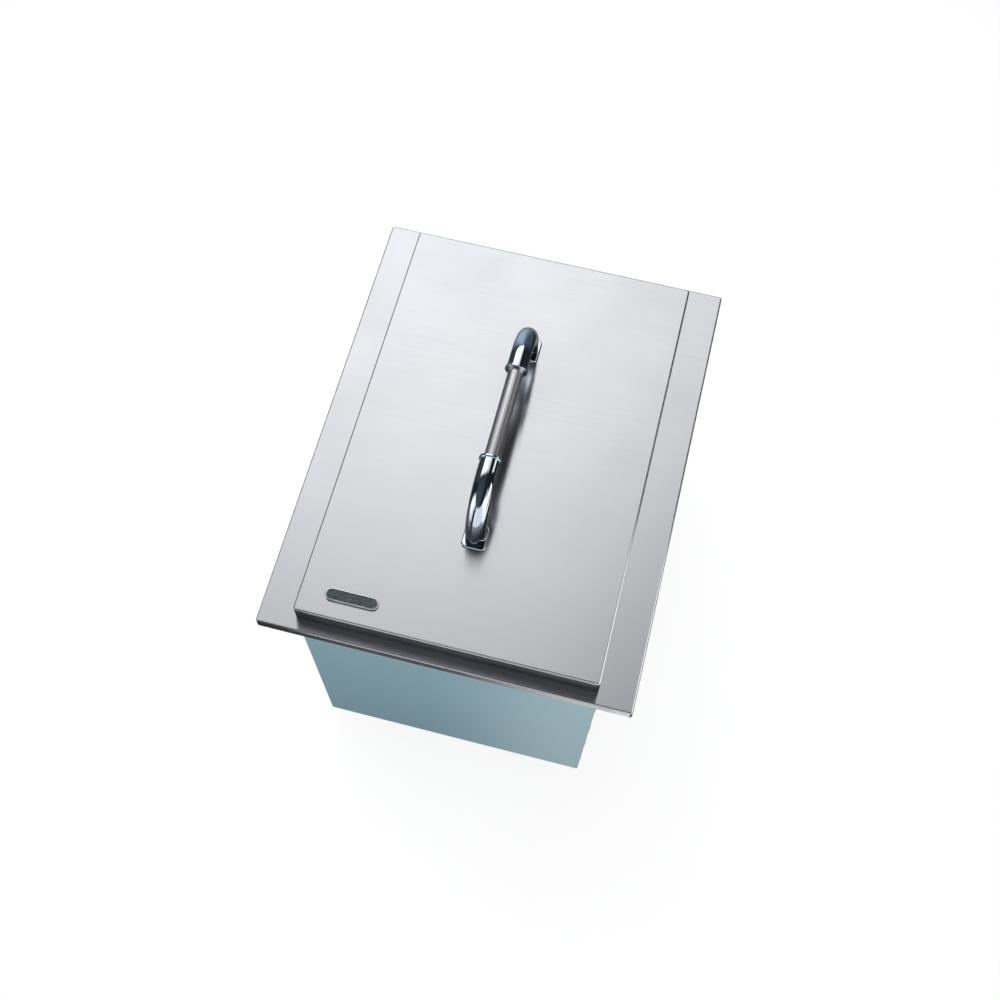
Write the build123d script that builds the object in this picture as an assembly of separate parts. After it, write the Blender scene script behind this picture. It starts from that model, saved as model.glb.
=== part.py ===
from build123d import *
import os

# Drop-in ice bin in millimetres: an insulated tub that hangs in a worktop cut-out by its flange,
# with a drain in the floor and a lift-off insulated lid with a bent-tube handle.
# The origin is the centre of the cut-out on the worktop's surface, where the flange's lip rests.
# +X runs across the bin, +Y to its back and +Z up.

# Well, inside sizes
well_width = 332.0
well_length = 508.0
well_depth = 402.0
well_corner_radius = 22.0
well_floor_radius = 16.0
floor_fall = 6.0
fall_margin = 9.0
tub_sheet = 1.0
tub_rim_width = 14.0

# Flange round the well
flange_side_width = 69.0
flange_end_width = 47.5
flange_sheet = 1.5
flange_inside_corner = 1.6
flange_inside_bend = 0.8
lip_drop = 15.0

# Casing and insulation
casing_sheet = 0.8
casing_inside_bend = 0.8
casing_end_return = 18.0
casing_top_return = 8.0
pan_upstand = 16.0
pan_inside_corner = 3.0
wall_insulation = 24.0
base_insulation = 28.0

# Rivets of the casing
rivet_radius = 2.0
rivet_head_radius = 4.0
rivet_head_height = 1.2
rivets_per_return = 5
rivets_per_pan_side = 4
rivets_per_pan_back = 3
rivet_edge_distance = 42.0

# Drain
drain_flange_radius = 32.0
drain_flange_thickness = 2.0
drain_flange_bevel = 1.0
drain_sump_margin = 6.0
drain_cup_radius = 22.0
drain_cup_wall = 2.5
drain_cup_spare = 5.0
drain_gasket_width = 9.0
drain_gasket_thickness = 2.0
drain_washer_width = 8.0
drain_washer_thickness = 1.0
drain_nut_wall = 6.0
drain_nut_thickness = 7.0
drain_nut_sides = 6
drain_neck_radius = 13.2
drain_neck_show = 4.0
drain_tail_step = 0.8
drain_tail_length = 28.0
drain_bore_radius = 9.5
drain_hole_clearance = 0.4
foam_pocket_clearance = 1.0
grommet_wall = 2.5
grommet_lip = 3.0
grommet_lip_thickness = 2.0

# Strainer
strainer_overlap = 3.0
strainer_thickness = 1.2
strainer_spigot_wall = 1.2
strainer_spigot_depth = 6.0
strainer_clearance = 0.3
strainer_hole_radius = 1.9
strainer_hole_rings = 2
strainer_holes_in_first_ring = 6
knob_stem_radius = 2.5
knob_stem_height = 4.0
knob_radius = 4.8
knob_thickness = 2.6
knob_edge_radius = 1.0

# Lid
lid_side_overlap = 23.5
lid_end_overlap = 30.0
lid_height = 25.5
lid_sheet = 1.0
lid_inside_corner = 3.0
lid_inside_bend = 1.5
lid_skirt_gap = 1.5
plug_depth = 18.0
plug_clearance = 3.0
plug_inside_bend = 5.0
inner_pan_sheet = 0.8
inner_pan_upstand = 14.0
gasket_thickness = 3.0
gasket_width = 10.0
gasket_inset = 4.0
gasket_corner_radius = 12.0

# Handle
grip_exposed_length = 124.8
grip_radius = 9.5
grip_wall = 1.5
grip_socket_depth = 15.0
elbow_radius = 13.0
elbow_bend_radius = 54.0
elbow_straight = 21.4
elbow_leg = 14.0
collar_radius = 14.6
collar_width = 4.0
collar_edge_radius = 1.2
foot_plate_width = 31.0
foot_plate_length = 34.0
foot_plate_thickness = 2.5
foot_plate_corner_radius = 6.0
foot_plate_edge_radius = 2.0
backing_margin = 6.0
backing_thickness = 3.0
handle_screw_radius = 3.0
handle_screw_engagement = 14.0
handle_screw_hole_spare = 2.0
handle_screw_head_radius = 5.5
handle_screw_head_height = 4.0
handle_washer_radius = 8.0
handle_washer_thickness = 1.2
handle_screw_clearance = 0.4

# Badge
badge_length = 67.0
badge_width = 16.3
badge_thickness = 3.0
badge_edge_radius = 1.1
badge_rim = 1.4
badge_recess = 0.7
badge_inlay_thickness = 0.4
badge_side_inset = 32.4
badge_front_inset = 22.0

# Clearance of a round piece in its own hole, and overrun of a cut past the face that it leaves
round_fit = 0.05
overrun = 2.0

# A bend across a corner stays within this share of the corner's own radius
cove_limit_share = 0.85

# Levels
flange_top = lip_drop
flange_under = flange_top - flange_sheet
floor_level = flange_top - well_depth
sump_level = floor_level - floor_fall
sump_under = sump_level - tub_sheet
casing_floor = sump_under - base_insulation - casing_sheet
foam_bottom = casing_floor + casing_sheet
foam_split = floor_level - tub_sheet
foam_top = flange_under - max(tub_sheet, casing_sheet)
lid_rim_level = flange_top + gasket_thickness
lid_skirt_bottom = flange_top + lid_skirt_gap
lid_top = flange_top + lid_height
lid_under_sheet = lid_top - lid_sheet

# Plan sizes
flange_width = well_width + 2 * flange_side_width
flange_length = well_length + 2 * flange_end_width
foam_width = well_width + 2 * (tub_sheet + wall_insulation)
foam_length = well_length + 2 * (tub_sheet + wall_insulation)
casing_width = foam_width + 4 * casing_sheet
casing_length = foam_length + 2 * casing_sheet
lid_width = well_width + 2 * lid_side_overlap
lid_length = well_length + 2 * lid_end_overlap
lid_inside_width = lid_width - 2 * lid_sheet
lid_inside_length = lid_length - 2 * lid_sheet
plug_width = well_width - 2 * plug_clearance
plug_length = well_length - 2 * plug_clearance
floor_cove = min(well_floor_radius, cove_limit_share * well_corner_radius)

# Handle places
grip_end = grip_exposed_length / 2
handle_foot_y = grip_end + elbow_straight + elbow_bend_radius
handle_base = lid_top + foot_plate_thickness
grip_level = handle_base + elbow_leg + elbow_bend_radius


def block(width, length, radius, low, high):
    """Upright block with rounded plan corners, centred on the origin, between two heights."""
    outline = RectangleRounded(width, length, radius)
    return Pos(0, 0, low) * extrude(outline, high - low)


def box_between(low, high):
    """Plain box between two opposite corners."""
    size = [b - a for a, b in zip(low, high)]
    centre = [(a + b) / 2 for a, b in zip(low, high)]
    return Pos(*centre) * Box(*size)


def top_edges(part):
    """Edges round the highest face."""
    return part.faces().sort_by(Axis.Z)[-1].edges()


def bottom_edges(part):
    """Edges round the lowest face."""
    return part.faces().sort_by(Axis.Z)[0].edges()


def rod(radius, low, high):
    """Upright round bar on the origin's axis between two heights."""
    return Pos(0, 0, (low + high) / 2) * Cylinder(radius, high - low)


def ring(outer, inner, low, high):
    """Upright tube on the origin's axis between two heights."""
    return rod(outer, low, high) - rod(inner, low - overrun, high + overrun)


def evenly(low, high, count):
    """Places spread evenly between two limits, both included."""
    if count < 2:
        return [(low + high) / 2]
    step = (high - low) / (count - 1)
    return [low + step * i for i in range(count)]


# Flange


def make_top_flange():
    """Pressed frame with its outer edge turned down to the worktop and the well's opening cut out."""
    corner = flange_inside_corner + flange_sheet
    outer = block(flange_width, flange_length, corner, 0, flange_top)
    outer = fillet(top_edges(outer), flange_inside_bend + flange_sheet)
    inside_width = flange_width - 2 * flange_sheet
    inside_length = flange_length - 2 * flange_sheet
    inner = block(inside_width, inside_length, flange_inside_corner, -overrun, flange_under)
    inner = fillet(top_edges(inner), flange_inside_bend)
    opening = block(well_width, well_length, well_corner_radius, -overrun, flange_top + overrun)
    return outer - inner - opening


# Tub


def well_form(grow, top):
    """Inside of the well, or its outside when it grows by the sheet, up to a height."""
    low = floor_level - grow
    form = block(well_width + 2 * grow, well_length + 2 * grow, well_corner_radius + grow, low, top)
    form = fillet(bottom_edges(form), floor_cove + grow)
    inset = 2 * (floor_cove + fall_margin)
    sump_side = 2 * (drain_flange_radius + drain_sump_margin)
    rim = Pos(0, 0, low) * Rectangle(well_width - inset, well_length - inset)
    sump = Pos(0, 0, low - floor_fall) * Rectangle(sump_side, sump_side)
    return form + loft([rim, sump], ruled=True)


def make_liner_tub():
    """Folded and welded tub whose rim lies under the flange, with the drain's hole in its sump."""
    spread = tub_sheet + tub_rim_width
    rim_width = well_width + 2 * spread
    rim_length = well_length + 2 * spread
    rim = block(rim_width, rim_length, well_corner_radius + spread, flange_under - tub_sheet, flange_under)
    tub = well_form(tub_sheet, flange_under) + rim
    tub -= well_form(0, flange_under + overrun)
    hole = rod(drain_cup_radius + drain_hole_clearance, sump_under - overrun, sump_level + overrun)
    return tub - hole


# Rivets and their holes


def rivet():
    """Domed rivet through two sheets, with its head above its own origin."""
    dome_radius = (rivet_head_radius**2 + rivet_head_height**2) / (2 * rivet_head_height)
    ball = Pos(0, 0, rivet_head_height - dome_radius) * Sphere(dome_radius)
    head = ball & rod(rivet_head_radius, 0, rivet_head_height)
    return head + rod(rivet_radius, -2 * casing_sheet, 0)


def return_rivet_places():
    """Planes on the casing's sides where the end panels' returns are riveted to the side panels."""
    places = []
    low = casing_floor + rivet_edge_distance
    high = flange_under - rivet_edge_distance
    for side in (-1, 1):
        for end in (-1, 1):
            y = end * (casing_length / 2 - casing_end_return / 2)
            for z in evenly(low, high, rivets_per_return):
                places.append(Plane(origin=(side * casing_width / 2, y, z), z_dir=(side, 0, 0)))
    return places


def pan_rivet_places():
    """Planes where the bottom pan's upstand is riveted to the side panels and the back panel."""
    places = []
    z = casing_floor + pan_upstand / 2
    side_panel = casing_width / 2 - casing_sheet
    reach = casing_length / 2 - rivet_edge_distance
    for side in (-1, 1):
        for y in evenly(-reach, reach, rivets_per_pan_side):
            places.append(Plane(origin=(side * side_panel, y, z), z_dir=(side, 0, 0)))
    reach = casing_width / 2 - rivet_edge_distance
    for x in evenly(-reach, reach, rivets_per_pan_back):
        places.append(Plane(origin=(x, casing_length / 2, z), z_dir=(0, 1, 0)))
    return places


rivet_places = return_rivet_places() + pan_rivet_places()


def riveted(sheet):
    """The sheet with a hole wherever one of the rivets passes through it."""
    punch = rod(rivet_radius + round_fit, -2 * casing_sheet - overrun, overrun)
    return sheet - [place * punch for place in rivet_places]


def make_casing_rivets():
    """Every rivet of the casing as a solid of its own."""
    return Compound(children=[place * rivet() for place in rivet_places])


# Casing


def upright_edges(part, end):
    """Upright edges that lie furthest to the front (end -1) or to the back (end 1)."""
    return part.edges().filter_by(Axis.Z).group_by(Axis.Y)[0 if end < 0 else -1]


def make_end_panel(end):
    """Front (end -1) or back (end 1) panel: one bend down each side and a return under the flange."""
    face = end * casing_length / 2
    edge = end * (casing_length / 2 - casing_end_return)
    half = casing_width / 2
    outer = box_between((-half, min(face, edge), casing_floor), (half, max(face, edge), flange_under))
    outer = fillet(upright_edges(outer, end), casing_inside_bend + casing_sheet)
    inner_face = face - end * casing_sheet
    inner_edge = edge - end * overrun
    inner = box_between(
        (casing_sheet - half, min(inner_face, inner_edge), casing_floor - overrun),
        (half - casing_sheet, max(inner_face, inner_edge), flange_under + overrun),
    )
    inner = fillet(upright_edges(inner, end), casing_inside_bend)
    tab_edge = inner_face - end * casing_top_return
    tab = box_between(
        (-foam_width / 2, min(inner_face, tab_edge), flange_under - casing_sheet),
        (foam_width / 2, max(inner_face, tab_edge), flange_under),
    )
    return riveted(outer - inner + tab)


def make_side_panel(side):
    """Left (side -1) or right (side 1) panel: a flat sheet with a return under the flange."""
    face = side * (foam_width / 2 + casing_sheet)
    inner = side * foam_width / 2
    reach = foam_length / 2 - casing_inside_bend
    sheet = box_between((min(face, inner), -reach, casing_floor), (max(face, inner), reach, flange_under))
    tab_edge = side * (foam_width / 2 - casing_top_return)
    tab_reach = foam_length / 2 - casing_top_return
    tab = box_between(
        (min(inner, tab_edge), -tab_reach, flange_under - casing_sheet),
        (max(inner, tab_edge), tab_reach, flange_under),
    )
    return riveted(sheet + tab)


def make_casing_bottom_pan():
    """Tray whose upstand lies inside the four panels, with the drain's hole in its floor."""
    corner = pan_inside_corner + casing_sheet
    pan_top = casing_floor + pan_upstand
    pan = block(foam_width, foam_length, corner, casing_floor, pan_top)
    pan = fillet(bottom_edges(pan), casing_inside_bend + casing_sheet)
    hollow_width = foam_width - 2 * casing_sheet
    hollow_length = foam_length - 2 * casing_sheet
    hollow = block(hollow_width, hollow_length, pan_inside_corner, foam_bottom, pan_top + overrun)
    hollow = fillet(bottom_edges(hollow), casing_inside_bend)
    hole = rod(drain_neck_radius + grommet_wall, casing_floor - overrun, foam_bottom + overrun)
    return riveted(pan - hollow - hole)


# Insulation


def make_end_slab(end):
    """Front or back foam slab, shaped to the tub's end and its rounded corners."""
    outer = end * foam_length / 2
    inner = end * (well_length / 2 - well_corner_radius)
    slab = box_between(
        (-foam_width / 2, min(outer, inner), foam_split),
        (foam_width / 2, max(outer, inner), foam_top),
    )
    return slab - well_form(tub_sheet, flange_top)


def make_side_slab(side):
    """Left or right foam slab between the two end slabs."""
    outer = side * foam_width / 2
    inner = side * (well_width / 2 - well_corner_radius)
    reach = well_length / 2 - well_corner_radius
    slab = box_between((min(outer, inner), -reach, foam_split), (max(outer, inner), reach, foam_top))
    return slab - well_form(tub_sheet, flange_top)


def make_base_slab():
    """Foam under the tub, with a pocket for the drain's nut and a passage for its neck."""
    width = foam_width - 2 * casing_sheet
    length = foam_length - 2 * casing_sheet
    slab = block(width, length, pan_inside_corner, foam_bottom, foam_split)
    slab = fillet(bottom_edges(slab), casing_inside_bend)
    slab -= well_form(tub_sheet, flange_top)
    pocket_bottom = drain_cup_bottom - foam_pocket_clearance
    slab -= rod(drain_nut_reach + foam_pocket_clearance, pocket_bottom, foam_split)
    collar = drain_neck_radius + grommet_wall + grommet_lip
    return slab - rod(collar + foam_pocket_clearance, casing_floor, foam_split)


# Drain

drain_gasket_bottom = sump_under - drain_gasket_thickness
drain_washer_bottom = drain_gasket_bottom - drain_washer_thickness
drain_nut_bottom = drain_washer_bottom - drain_nut_thickness
drain_cup_bottom = drain_nut_bottom - drain_cup_spare
drain_cup_inside = drain_cup_radius - drain_cup_wall
drain_neck_bottom = casing_floor - grommet_lip_thickness - drain_neck_show
drain_tail_radius = drain_neck_radius - drain_tail_step
drain_tail_bottom = drain_neck_bottom - drain_tail_length
drain_top = sump_level + drain_flange_thickness
drain_nut_shape = RegularPolygon(drain_cup_radius + drain_nut_wall, drain_nut_sides, major_radius=False)
drain_nut_reach = drain_nut_shape.bounding_box().size.X / 2


def make_drain_body():
    """Cup with a flange over the tub's floor, a neck through the casing and a stepped hose tail."""
    flange = rod(drain_flange_radius, sump_level, drain_top)
    flange = chamfer(top_edges(flange), drain_flange_bevel)
    body = flange + rod(drain_cup_radius, drain_cup_bottom, sump_level)
    body += rod(drain_neck_radius, drain_neck_bottom, drain_cup_bottom)
    body += rod(drain_tail_radius, drain_tail_bottom, drain_neck_bottom)
    body -= rod(drain_cup_inside, drain_cup_bottom + drain_cup_wall, drain_top + overrun)
    return body - rod(drain_bore_radius, drain_tail_bottom - overrun, drain_top)


def make_drain_gasket():
    """Rubber ring between the tub's floor and the washer."""
    inner = drain_cup_radius + round_fit
    return ring(inner + drain_gasket_width, inner, drain_gasket_bottom, sump_under)


def make_drain_slip_washer():
    """Thin ring that lets the nut turn without dragging the gasket."""
    inner = drain_cup_radius + round_fit
    return ring(inner + drain_washer_width, inner, drain_washer_bottom, drain_gasket_bottom)


def make_drain_locknut():
    """Hexagonal nut on the cup's outside."""
    nut = Pos(0, 0, drain_nut_bottom) * extrude(drain_nut_shape, drain_nut_thickness)
    hole = rod(drain_cup_radius + round_fit, drain_nut_bottom - overrun, drain_washer_bottom + overrun)
    return nut - hole


def make_drain_grommet():
    """Grooved rubber ring that holds the neck in the bottom pan's hole."""
    waist = drain_neck_radius + grommet_wall - round_fit
    low = casing_floor - grommet_lip_thickness
    high = foam_bottom + grommet_lip_thickness
    grommet = rod(waist, low, high)
    grommet += rod(waist + grommet_lip, low, casing_floor)
    grommet += rod(waist + grommet_lip, foam_bottom, high)
    return grommet - rod(drain_neck_radius + round_fit, low - overrun, high + overrun)


def make_drain_strainer():
    """Perforated disc on the drain's flange, with a spigot in the cup and a knob to lift it by."""
    spigot = drain_cup_inside - strainer_clearance
    strainer_top = drain_top + strainer_thickness
    disc = rod(drain_cup_radius + strainer_overlap, drain_top, strainer_top)
    disc += ring(spigot, spigot - strainer_spigot_wall, drain_top - strainer_spigot_depth, drain_top)
    pitch = (spigot - strainer_spigot_wall) / (strainer_hole_rings + 1)
    hole = rod(strainer_hole_radius, drain_top - overrun, strainer_top + overrun)
    for i in range(strainer_hole_rings):
        count = strainer_holes_in_first_ring * (i + 1)
        disc -= PolarLocations(pitch * (i + 1), count) * hole
    stem_top = strainer_top + knob_stem_height
    cap = rod(knob_radius, stem_top, stem_top + knob_thickness)
    cap = fillet(cap.edges().filter_by(GeomType.CIRCLE), knob_edge_radius)
    return disc + rod(knob_stem_radius, strainer_top, stem_top) + cap


# Lid


def on_feet(shape):
    """A shape at the front foot of the handle and its copy at the rear foot."""
    return [Pos(0, end * handle_foot_y, 0) * shape for end in (-1, 1)]


def make_lid_outer_pan():
    """Cover with its edge folded down into a skirt that stops just short of the flange."""
    corner = lid_inside_corner + lid_sheet
    outer = block(lid_width, lid_length, corner, lid_skirt_bottom, lid_top)
    outer = fillet(top_edges(outer), lid_inside_bend + lid_sheet)
    mouth = lid_skirt_bottom - overrun
    inner = block(lid_inside_width, lid_inside_length, lid_inside_corner, mouth, lid_under_sheet)
    inner = fillet(top_edges(inner), lid_inside_bend)
    hole = rod(handle_screw_radius + handle_screw_clearance, lid_under_sheet - overrun, lid_top + overrun)
    return outer - inner - on_feet(hole)


def plug_form(shrink):
    """Outside of the part of the lid that hangs in the opening, or its inside when it shrinks."""
    radius = well_corner_radius - plug_clearance - shrink
    low = flange_top - plug_depth + shrink
    high = lid_rim_level + inner_pan_sheet
    form = block(plug_width - 2 * shrink, plug_length - 2 * shrink, radius, low, high)
    return fillet(bottom_edges(form), plug_inside_bend + inner_pan_sheet - shrink)


def make_lid_inner_pan():
    """Tray that hangs in the opening, with a rim over the gasket and its edge turned up in the skirt."""
    top = lid_rim_level + inner_pan_upstand
    pan = block(lid_inside_width, lid_inside_length, lid_inside_corner, lid_rim_level, top) + plug_form(0)
    width = lid_inside_width - 2 * inner_pan_sheet
    length = lid_inside_length - 2 * inner_pan_sheet
    radius = lid_inside_corner - inner_pan_sheet
    pan -= block(width, length, radius, lid_rim_level + inner_pan_sheet, top + overrun)
    return pan - plug_form(inner_pan_sheet)


def make_lid_foam_core():
    """Insulation that fills the lid, with a pocket round each of the handle's fixings."""
    width = lid_inside_width - 2 * inner_pan_sheet
    length = lid_inside_length - 2 * inner_pan_sheet
    radius = lid_inside_corner - inner_pan_sheet
    core = block(width, length, radius, lid_rim_level + inner_pan_sheet, lid_under_sheet)
    core = fillet(top_edges(core), min(lid_inside_bend, cove_limit_share * radius))
    core += plug_form(inner_pan_sheet)
    backing_bottom = lid_under_sheet - backing_thickness
    washer_bottom = backing_bottom - handle_washer_thickness
    head_bottom = washer_bottom - handle_screw_head_height
    pocket_top = lid_under_sheet + overrun
    pocket = block(backing_width, backing_length, foot_plate_corner_radius, backing_bottom, pocket_top)
    pocket_bottom = head_bottom - foam_pocket_clearance
    pocket += rod(handle_washer_radius + foam_pocket_clearance, pocket_bottom, backing_bottom)
    return core - on_feet(pocket)


def make_lid_gasket():
    """Rubber frame under the lid's rim that closes on the flange all round the opening."""
    width = lid_inside_width - 2 * gasket_inset
    length = lid_inside_length - 2 * gasket_inset
    outer_radius = gasket_corner_radius + gasket_width
    outer = block(width, length, outer_radius, flange_top, lid_rim_level)
    inner_width = width - 2 * gasket_width
    inner_length = length - 2 * gasket_width
    low = flange_top - overrun
    inner = block(inner_width, inner_length, gasket_corner_radius, low, lid_rim_level + overrun)
    return outer - inner


# Handle

backing_width = foot_plate_width + 2 * backing_margin
backing_length = foot_plate_length + 2 * backing_margin


def turned_to(end, shape):
    """A piece modelled for the front of the handle, turned about the upright axis for the rear."""
    return shape if end < 0 else Rot(0, 0, 180) * shape


def make_grip_tube():
    """Tube between the elbows, reaching to the bottom of both sockets."""
    length = grip_exposed_length + 2 * grip_socket_depth
    tube = Cylinder(grip_radius, length) - Cylinder(grip_radius - grip_wall, length + overrun)
    return Pos(0, 0, grip_level) * Rot(90, 0, 0) * tube


def make_elbow(end):
    """Bend from the foot plate up to the grip, with a collar, the tube's socket and a tapped hole."""
    foot = (0, -handle_foot_y, handle_base)
    corner = (0, -handle_foot_y, grip_level)
    mouth = (0, -grip_end, grip_level)
    path = FilletPolyline(foot, corner, mouth, radius=elbow_bend_radius)
    elbow = sweep(Plane(origin=foot, z_dir=(0, 0, 1)) * Circle(elbow_radius), path=path)
    lying = Pos(0, -grip_end, grip_level) * Rot(90, 0, 0)
    collar = rod(collar_radius, 0, collar_width)
    collar = fillet(collar.edges().filter_by(GeomType.CIRCLE), collar_edge_radius)
    elbow += lying * collar
    elbow -= lying * rod(grip_radius + round_fit, -overrun, grip_socket_depth)
    hole_top = handle_base + handle_screw_engagement + handle_screw_hole_spare
    hole = rod(handle_screw_radius + round_fit, handle_base - overrun, hole_top)
    elbow -= Pos(0, -handle_foot_y, 0) * hole
    return turned_to(end, elbow)


def make_foot_plate(end):
    """Small rounded plate between the lid and an elbow."""
    plate = block(foot_plate_width, foot_plate_length, foot_plate_corner_radius, lid_top, handle_base)
    plate = fillet(top_edges(plate), foot_plate_edge_radius)
    plate -= rod(handle_screw_radius + handle_screw_clearance, lid_top - overrun, handle_base + overrun)
    return Pos(0, end * handle_foot_y, 0) * plate


def make_backing_plate(end):
    """Plate inside the lid that the screw pulls against."""
    low = lid_under_sheet - backing_thickness
    plate = block(backing_width, backing_length, foot_plate_corner_radius, low, lid_under_sheet)
    plate -= rod(handle_screw_radius + handle_screw_clearance, low - overrun, lid_under_sheet + overrun)
    return Pos(0, end * handle_foot_y, 0) * plate


def make_handle_washers():
    """Washer under each screw's head."""
    high = lid_under_sheet - backing_thickness
    hole = handle_screw_radius + handle_screw_clearance
    washer = ring(handle_washer_radius, hole, high - handle_washer_thickness, high)
    return Compound(children=on_feet(washer))


def make_handle_screws():
    """Screw from inside the lid up into each elbow's leg."""
    seat = lid_under_sheet - backing_thickness - handle_washer_thickness
    head = rod(handle_screw_head_radius, seat - handle_screw_head_height, seat)
    shank = rod(handle_screw_radius, seat, handle_base + handle_screw_engagement)
    return Compound(children=on_feet(head + shank))


# Badge

badge_x = badge_side_inset + badge_length / 2 - lid_width / 2
badge_y = badge_front_inset + badge_width / 2 - lid_length / 2
badge_top = lid_top + badge_thickness
badge_floor = badge_top - badge_recess


def pill(shrink, low, high):
    """Upright block with half-round ends, smaller than the badge by a margin all round."""
    outline = SlotOverall(badge_length - 2 * shrink, badge_width - 2 * shrink)
    return Pos(badge_x, badge_y, low) * extrude(outline, high - low)


def make_badge_plate():
    """Pill-shaped plate with a raised rim round a shallow recess."""
    plate = pill(0, lid_top, badge_top)
    plate = fillet(top_edges(plate), badge_edge_radius)
    return plate - pill(badge_rim, badge_floor, badge_top + overrun)


def make_badge_inlay():
    """Plain inlay on the floor of the badge's recess."""
    return pill(badge_rim + round_fit, badge_floor, badge_floor + badge_inlay_thickness)


nodes = {
    "top_flange": make_top_flange(),
    "liner_tub": make_liner_tub(),
    "casing_front_panel": make_end_panel(-1),
    "casing_back_panel": make_end_panel(1),
    "casing_left_panel": make_side_panel(-1),
    "casing_right_panel": make_side_panel(1),
    "casing_bottom_pan": make_casing_bottom_pan(),
    "casing_rivets": make_casing_rivets(),
    "insulation_front": make_end_slab(-1),
    "insulation_back": make_end_slab(1),
    "insulation_left": make_side_slab(-1),
    "insulation_right": make_side_slab(1),
    "insulation_base": make_base_slab(),
    "drain_body": make_drain_body(),
    "drain_gasket": make_drain_gasket(),
    "drain_slip_washer": make_drain_slip_washer(),
    "drain_locknut": make_drain_locknut(),
    "drain_grommet": make_drain_grommet(),
    "drain_strainer": make_drain_strainer(),
    "lid_outer_pan": make_lid_outer_pan(),
    "lid_inner_pan": make_lid_inner_pan(),
    "lid_foam_core": make_lid_foam_core(),
    "lid_gasket": make_lid_gasket(),
    "handle_grip_tube": make_grip_tube(),
    "handle_front_elbow": make_elbow(-1),
    "handle_rear_elbow": make_elbow(1),
    "handle_front_foot_plate": make_foot_plate(-1),
    "handle_rear_foot_plate": make_foot_plate(1),
    "handle_front_backing_plate": make_backing_plate(-1),
    "handle_rear_backing_plate": make_backing_plate(1),
    "handle_washers": make_handle_washers(),
    "handle_screws": make_handle_screws(),
    "badge_plate": make_badge_plate(),
    "badge_inlay": make_badge_inlay(),
}

os.makedirs("parts", exist_ok=True)
for name, shape in nodes.items():
    export_step(shape, f"parts/{name}.step")

print(f"flange {flange_width:.1f} x {flange_length:.1f}, lid {lid_width:.1f} x {lid_length:.1f}")
print(f"casing {casing_width:.1f} x {casing_length:.1f}, floor at {casing_floor:.1f}")
print(f"handle feet {2 * handle_foot_y:.1f} apart, grip axis {grip_level - lid_top:.1f} above the lid")
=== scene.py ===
# %% [markdown]
# # A drop-in ice bin in a photo studio
# The bin is a deep insulated tub that hangs in a worktop by its wide steel flange. A folded steel
# lid with a bent-tube handle lies on it. Every sheet, tube and fastener already exists as a solid
# at its real size, so this lesson adds what a solid lacks: the brushed grain, the plating, the coat
# of paint, and the studio that all of them mirror. Metal has almost no colour of its own, so most
# of its look is what it reflects. The frame is loaded first, because each later cell reads its
# places from it.

# %% Load the frame
import math

import bmesh
import bpy
from mathutils import Matrix, Vector


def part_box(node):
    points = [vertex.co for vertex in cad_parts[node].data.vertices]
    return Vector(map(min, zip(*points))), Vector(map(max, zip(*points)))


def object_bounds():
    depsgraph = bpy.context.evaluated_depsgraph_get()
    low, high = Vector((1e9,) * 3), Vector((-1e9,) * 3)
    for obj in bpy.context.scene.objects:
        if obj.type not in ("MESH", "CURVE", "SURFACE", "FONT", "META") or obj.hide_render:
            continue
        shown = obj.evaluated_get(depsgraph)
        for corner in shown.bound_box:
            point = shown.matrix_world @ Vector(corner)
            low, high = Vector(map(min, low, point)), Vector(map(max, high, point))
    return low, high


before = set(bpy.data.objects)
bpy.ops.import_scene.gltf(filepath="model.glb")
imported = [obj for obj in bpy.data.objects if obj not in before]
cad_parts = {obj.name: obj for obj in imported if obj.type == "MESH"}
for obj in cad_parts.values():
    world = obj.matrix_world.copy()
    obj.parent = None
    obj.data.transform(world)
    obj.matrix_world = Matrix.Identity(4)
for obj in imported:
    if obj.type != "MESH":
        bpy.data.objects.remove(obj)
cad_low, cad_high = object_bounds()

MM = 0.001
print("solids:", len(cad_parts), "box in mm:", [round(x / MM) for x in cad_high - cad_low])

# %% [markdown]
# ## Camera
# The picture looks down on the bin from above its front edge, with the bin turned a little to the
# left. A camera could be turned by hand until it fits. Here its place was worked out from the
# corners of the flange and the lid, whose sizes are known, so the outlines fall where they should
# without any shift. The small roll is real too: the edges of the lid lean by that angle more than
# their perspective asks.

# %% Camera
CAMERA_PLACE = Vector((0.1602, -0.7185, 1.4925))
CAMERA_AIM = Vector((0.0129, -0.0641, 0.0))
CAMERA_ROLL = math.radians(1.652)
LENS_MM = 45.86
SENSOR_MM = 36.0


def facing(place, aim):
    """The placing of a camera or lamp that stands in one point and looks at another."""
    return Matrix.Translation(place) @ (aim - place).to_track_quat("-Z", "Y").to_matrix().to_4x4()


camera_data = bpy.data.cameras.new("photo_camera")
camera_data.lens = LENS_MM
camera_data.sensor_width = SENSOR_MM
camera = bpy.data.objects.new("photo_camera", camera_data)
camera.matrix_world = facing(CAMERA_PLACE, CAMERA_AIM) @ Matrix.Rotation(CAMERA_ROLL, 4, "Z")
bpy.context.scene.collection.objects.link(camera)
bpy.context.scene.camera = camera
print("camera stands", round((CAMERA_AIM - CAMERA_PLACE).length, 3), "m from its aim")

# %% [markdown]
# ## Writing node trees as sums
# A finish mixes patterns: a noise times a number, plus another. Adding and linking Math nodes one
# by one hides that idea, so a small class wraps an output socket and lets Python's own signs add
# the nodes. The reflected signs are there too, so that a sum may also begin with the number, as in
# 1 - mask.

# %% Wires


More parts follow.
